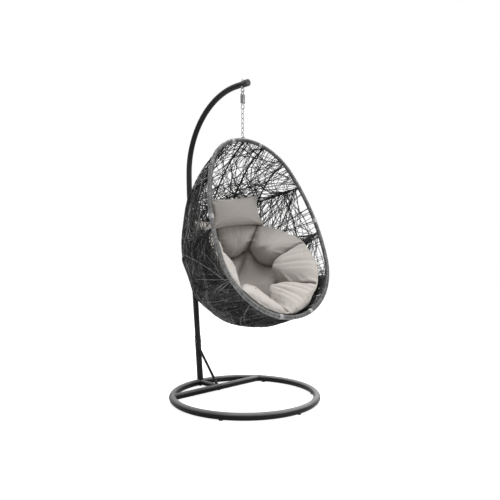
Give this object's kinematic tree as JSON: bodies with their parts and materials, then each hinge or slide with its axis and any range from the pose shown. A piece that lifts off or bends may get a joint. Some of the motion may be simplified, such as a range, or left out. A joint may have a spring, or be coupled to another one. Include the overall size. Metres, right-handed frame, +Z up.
{
  "type": "hanging egg chair",
  "caption": "Hanging egg chair: a ring base with a curved arm carries, on a spring and chain, a swinging woven basket with a tufted seat cushion and a head pillow.",
  "frame": {"origin": "on the floor, in the middle of the stand's footprint rectangle", "axes": "+Z up; the basket opens towards -Y, turned 5.5 degrees; the post stands on the +Y side; +X is the basket's right seen from the front"},
  "size_m": [0.9429, 1.069, 2.0136],
  "materials": {
    "powder_coat": "satin powder coat, anthracite",
    "frame_coat": "satin powder coat, dark grey",
    "zinc": "zinc plated",
    "spring_steel": "plated spring wire",
    "rubber_pad": "matte",
    "cap_plastic": "matte moulded",
    "rim_wrap": "wrapped wicker strand",
    "wicker": "mottled grey wicker strand",
    "cloth": "woven polyester, taupe"
  },
  "bodies": {
    "stand": {"base_ring": "powder_coat", "base_crossbar": "powder_coat", "base_spur": "powder_coat", "foot_pads": "rubber_pad", "post": "powder_coat", "post_brace": "powder_coat", "curved_arm": "powder_coat", "end_cap": "cap_plastic", "arm_bolts": "zinc", "arm_nuts": "zinc", "eye_bolt": "zinc", "eye_washers": "zinc", "eye_nut": "zinc"},
    "spring": {"spring": "spring_steel"},
    "chain_upper": {"chain_link_1": "zinc", "chain_link_2": "zinc"},
    "chain_lower": {"chain_link_3": "zinc", "chain_link_4": "zinc", "chain_link_5": "zinc", "chain_link_6": "zinc"},
    "basket": {"hang_ring": "zinc", "rim_hoop": "rim_wrap", "rib_spine": "frame_coat", "rib_inner_left": "frame_coat", "rib_inner_right": "frame_coat", "rib_outer_left": "frame_coat", "rib_outer_right": "frame_coat", "hoop_upper": "frame_coat", "hoop_middle": "frame_coat", "hoop_lower": "frame_coat", "weave_crown": "wicker", "weave_upper": "wicker", "weave_lower": "wicker", "weave_sole": "wicker", "seat_cushion": "cloth", "head_pillow": "cloth"}
  },
  "joints": [
    {"name": "swing_fore_aft", "type": "hinge", "parent": "stand", "child": "spring", "pos_m": [0, -0.04248, 1.93011], "axis": [-1, 0, 0], "range_deg": [-3, 14]},
    {"name": "spring_stretch", "type": "slide", "parent": "spring", "child": "chain_upper", "axis": [0, 0, -1], "range_m": [0, 0.03], "stiffness_N_per_m": 40000, "springref_m": -0.00819, "deforming": ["spring"]},
    {"name": "chain_sideways", "type": "hinge", "parent": "chain_upper", "child": "chain_lower", "pos_m": [0, -0.04248, 1.76141], "axis": [0, 1, 0], "range_deg": [-10, 10]},
    {"name": "basket_swivel", "type": "hinge", "parent": "chain_lower", "child": "basket", "pos_m": [0, -0.04248, 1.62891], "axis": [0, 0, 1], "range_deg": [-30, 30]}
  ]
}
